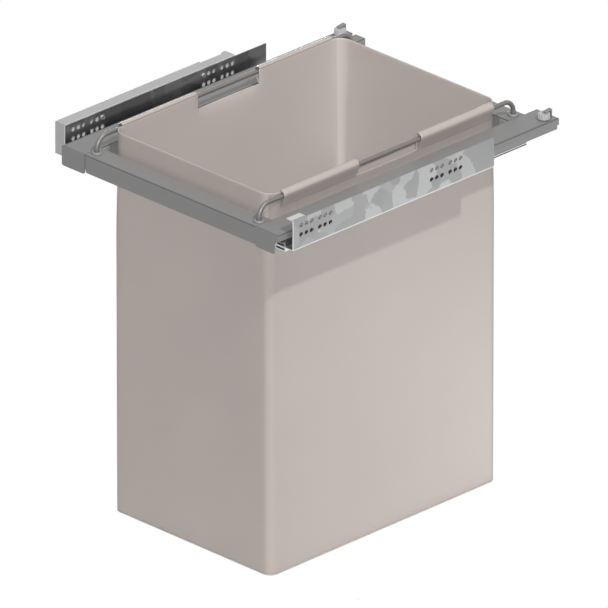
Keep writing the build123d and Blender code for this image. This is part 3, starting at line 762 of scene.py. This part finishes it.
def galvanised_steel():
    """Zinc-coated sheet: large spangles of two main tones with torn edges, a fine grain, and painted
    highlights on its front edges, lower bend and the lug's top.
    """
    surface = Surface("galvanised_steel", roughness=0.32, metallic=1.0)
    tear = surface.noise_node(60.0, 8.0, 0.66).outputs["Color"]
    torn_place = surface.vector_math("ADD", surface.place, surface.vector_math("SCALE", tear, SPANGLE_TEAR))
    cells = surface.nodes.new("ShaderNodeTexVoronoi")
    cells.inputs["Scale"].default_value = SPANGLE_SCALE
    surface.links.new(torn_place, cells.inputs["Vector"])
    pick = surface.nodes.new("ShaderNodeSeparateColor")
    surface.links.new(cells.outputs["Color"], pick.inputs["Color"])
    spangles = surface.ramp(pick.outputs["Red"], ZINC_TONES, "CONSTANT")
    bloom = surface.math("MULTIPLY", surface.noise(55.0, 4.0, 0.6), 0.12)
    zinc = surface.mix(bloom, spangles, ZINC_GREY)
    # painted highlight on the front edges, the lower bend and the lug's top
    surface.colour(surface.mix(highlight_factor(surface), zinc, ZINC_HIGHLIGHT))
    surface.rough(surface.ramp(pick.outputs["Green"], ((0.0, 0.28), (1.0, 0.38))))
    surface.bump(surface.noise(900.0, 2.0), 0.06, 0.05 * MM)
    return surface.material


def brushed_metal(name, colour, roughness, metallic=0.9, spread=0.05, hem=None):
    """Rolled or drawn metal with fine lines along Y; given a hem height, a painted highlight line over
    painted shade up to it.
    """
    surface = Surface(name, roughness=roughness, metallic=metallic)
    lines = surface.noise(1.0, 4.0, 0.6, surface.scaled(DRAWN_SCALE))
    tone = surface.ramp(lines, ((0.3, shaded(colour, 1.0 - spread)), (0.7, shaded(colour, 1.0 + spread))))
    if hem:
        # painted highlight line, then painted shade, along the hem
        height = surface.position()["Z"]
        tone = surface.mix(surface.math("LESS_THAN", height, hem + HEM_HIGHLIGHT_LINE), tone, HEM_HIGHLIGHT)
        tone = surface.mix(surface.math("LESS_THAN", height, hem), tone, HEM_SHADE)
    surface.colour(tone)
    surface.rough(surface.ramp(lines, ((0.2, roughness - 0.05), (0.8, roughness + 0.07))))
    surface.bump(lines, 0.05, 0.03 * MM)
    return surface.material


def moulded_plastic(name, colour, roughness=0.45):
    """Injection-moulded plastic: slight tone changes and a fine spark-eroded grain."""
    surface = Surface(name, roughness=roughness)
    surface.colour(surface.tones(colour, 0.03, 30.0))
    surface.bump(surface.noise(700.0, 2.0), 0.08, 0.04 * MM)
    return surface.material


MATERIALS = {
    "galvanised_steel": galvanised_steel(),
    "runner_steel": brushed_metal(
        "runner_steel", (0.25, 0.252, 0.255), 0.36, hem=MIDDLE_RAIL_FOOT + HEM_SHADE_HEIGHT
    ),
    "roller_steel": brushed_metal("roller_steel", (0.70, 0.71, 0.72), 0.20),
    "cage_plastic": moulded_plastic("cage_plastic", (0.80, 0.80, 0.77)),
    "frame_paint": frame_paint(),
    "bracket_steel": brushed_metal("bracket_steel", (0.42, 0.43, 0.43), 0.40, metallic=0.5),
    "bushing_plastic": moulded_plastic("bushing_plastic", (0.20, 0.205, 0.21), 0.42),
    "hook_steel": brushed_metal("hook_steel", (0.24, 0.245, 0.25), 0.42, metallic=0.5),
    "wheel_plastic": moulded_plastic("wheel_plastic", (0.43, 0.43, 0.44), 0.45),
    "rod_steel": brushed_metal("rod_steel", (0.180, 0.171, 0.162), 0.42, metallic=0.35),
    # the cloth carries painted shade by the hem
    "bag_cloth": bag_cloth("bag_cloth", (0.409, 0.362, 0.335), hem_shade_share=0.735),
    # the lining's lighter colour is painted light on the bag's shaded inside, with more of it on the rear
    # panel
    "bag_lining_lit": bag_cloth("bag_lining_lit", (0.442, 0.397, 0.373), rear_light_share=1.14),
    "base_board": moulded_plastic("base_board", (0.44, 0.40, 0.37), 0.6),
    "spacer_plastic": moulded_plastic("spacer_plastic", (0.388, 0.386, 0.386), 0.5),
    "fastener_steel": brushed_metal("fastener_steel", (0.42, 0.42, 0.43), 0.34),
}

slot_of = {part["node"]: part["material_slot"] for part in frame["record"]["subparts"]}
for node_name, node in frame["nodes"].items():
    node.data.materials.clear()
    node.data.materials.append(MATERIALS[slot_of[node_name]])

build_bag_body()
build_base_board()
for side, word in SIDES:
    build_rod(word)
    for end in ENDS:
        build_sleeve(side, word, end)
        build_bushing(word, end)

# Pressed and moulded edges of the CAD nodes catch the light.
for node_name in ("left_side_channel", "right_side_channel", "front_crossbar", "rear_crossbar"):
    add_bevel(frame["nodes"][node_name], PRESSED_EDGE, 1)
for node_name in ("hinge_side_spacer", "left_cabinet_rail", "right_cabinet_rail"):
    add_bevel(frame["nodes"][node_name], RAIL_EDGE, 1)


# Camera, light and floor

def camera_back():
    """Direction from the hamper to the camera."""
    azimuth, elevation = math.radians(AZIMUTH), math.radians(ELEVATION)
    return Vector((
        math.sin(azimuth) * math.cos(elevation),
        -math.cos(azimuth) * math.cos(elevation),
        math.sin(elevation),
    ))


def add_camera():
    back = camera_back()
    aim = Vector((MIDDLE_X, FRONT_Y + AIM_FROM_FRONT, FRAME_TOP - AIM_BELOW_TOP))
    camera = bpy.data.objects.new("camera", bpy.data.cameras.new("camera"))
    bpy.context.scene.collection.objects.link(camera)
    camera.data.lens = LENS
    camera.data.sensor_width = SENSOR
    camera.location = aim + back * (VIEW_WIDTH * LENS / SENSOR)
    camera.rotation_mode = "QUATERNION"
    camera.rotation_quaternion = (-back).to_track_quat("-Z", "Y")
    camera.data.clip_start = 1.0
    camera.data.clip_end = 100.0
    bpy.context.scene.camera = camera


def add_sky():
    """Even ambient light, which the camera sees as white, and glossy faces mirror as nearly white."""
    world = bpy.data.worlds.new("studio")
    world.use_nodes = True
    bpy.context.scene.world = world
    nodes, links = world.node_tree.nodes, world.node_tree.links
    nodes.clear()
    output = nodes.new("ShaderNodeOutputWorld")
    path = nodes.new("ShaderNodeLightPath")

    def white(level):
        node = nodes.new("ShaderNodeBackground")
        node.inputs["Color"].default_value = (1.0, 1.0, 1.0, 1.0)
        node.inputs["Strength"].default_value = level
        return node.outputs["Background"]

    shader = white(SKY_LEVEL)
    for ray, level in (("Is Glossy Ray", MIRROR_LEVEL), ("Is Camera Ray", CAMERA_LEVEL)):
        mix = nodes.new("ShaderNodeMixShader")
        links.new(path.outputs[ray], mix.inputs["Fac"])
        links.new(shader, mix.inputs[1])
        links.new(white(level), mix.inputs[2])
        shader = mix.outputs["Shader"]
    links.new(shader, output.inputs["Surface"])


def add_lamp(name, light, towards, place):
    """Puts a light at the place, shining away from the direction towards it."""
    lamp = bpy.data.objects.new(name, light)
    lamp.rotation_mode = "QUATERNION"
    lamp.rotation_quaternion = towards.to_track_quat("Z", "Y")
    lamp.location = place
    bpy.context.scene.collection.objects.link(lamp)
    return lamp


def add_sun(name, towards, level, angle):
    light = bpy.data.lights.new(name, "SUN")
    light.energy = level * math.pi
    light.angle = math.radians(angle)
    add_lamp(name, light, towards, towards * SUN_DISTANCE)


def add_sheen_light():
    """Low soft panel on the right, towards the rear, that puts a satin gradient on the bag's right face."""
    light = bpy.data.lights.new("sheen", "AREA")
    light.shape = "DISK"
    light.size = SHEEN_SIZE
    light.energy = SHEEN_POWER
    place = SHEEN_AIM + SHEEN_TOWARDS.normalized() * SHEEN_DISTANCE
    lamp = add_lamp("sheen", light, SHEEN_TOWARDS, place)
    lamp.visible_camera = False


def add_floor():
    floor = make_object(
        "floor",
        [(x, y, FLOOR_Z) for x, y in ((-1, -1), (1, -1), (1, 1), (-1, 1))],
        [(0, 1, 2, 3)],
        smooth=False,
    )
    floor.scale = (FLOOR_HALF, FLOOR_HALF, 1.0)
    surface = Surface("floor", roughness=0.9)
    surface.colour(surface.tones((0.95, 0.95, 0.95), 0.004, 0.6))
    floor.data.materials.append(surface.material)


bpy.context.scene.view_settings.view_transform = "Standard"
add_camera()
add_sky()
add_sun("key", KEY_TOWARDS, KEY_LEVEL, KEY_ANGLE)
add_sun("fill", camera_back(), FILL_LEVEL, FILL_ANGLE)
add_sun("top", TOP_TOWARDS, TOP_LEVEL, TOP_ANGLE)
add_sun("front", FRONT_TOWARDS, FRONT_LEVEL, FRONT_ANGLE)
add_sun("back", BACK_TOWARDS, BACK_LEVEL, BACK_ANGLE)
add_sheen_light()
add_floor()
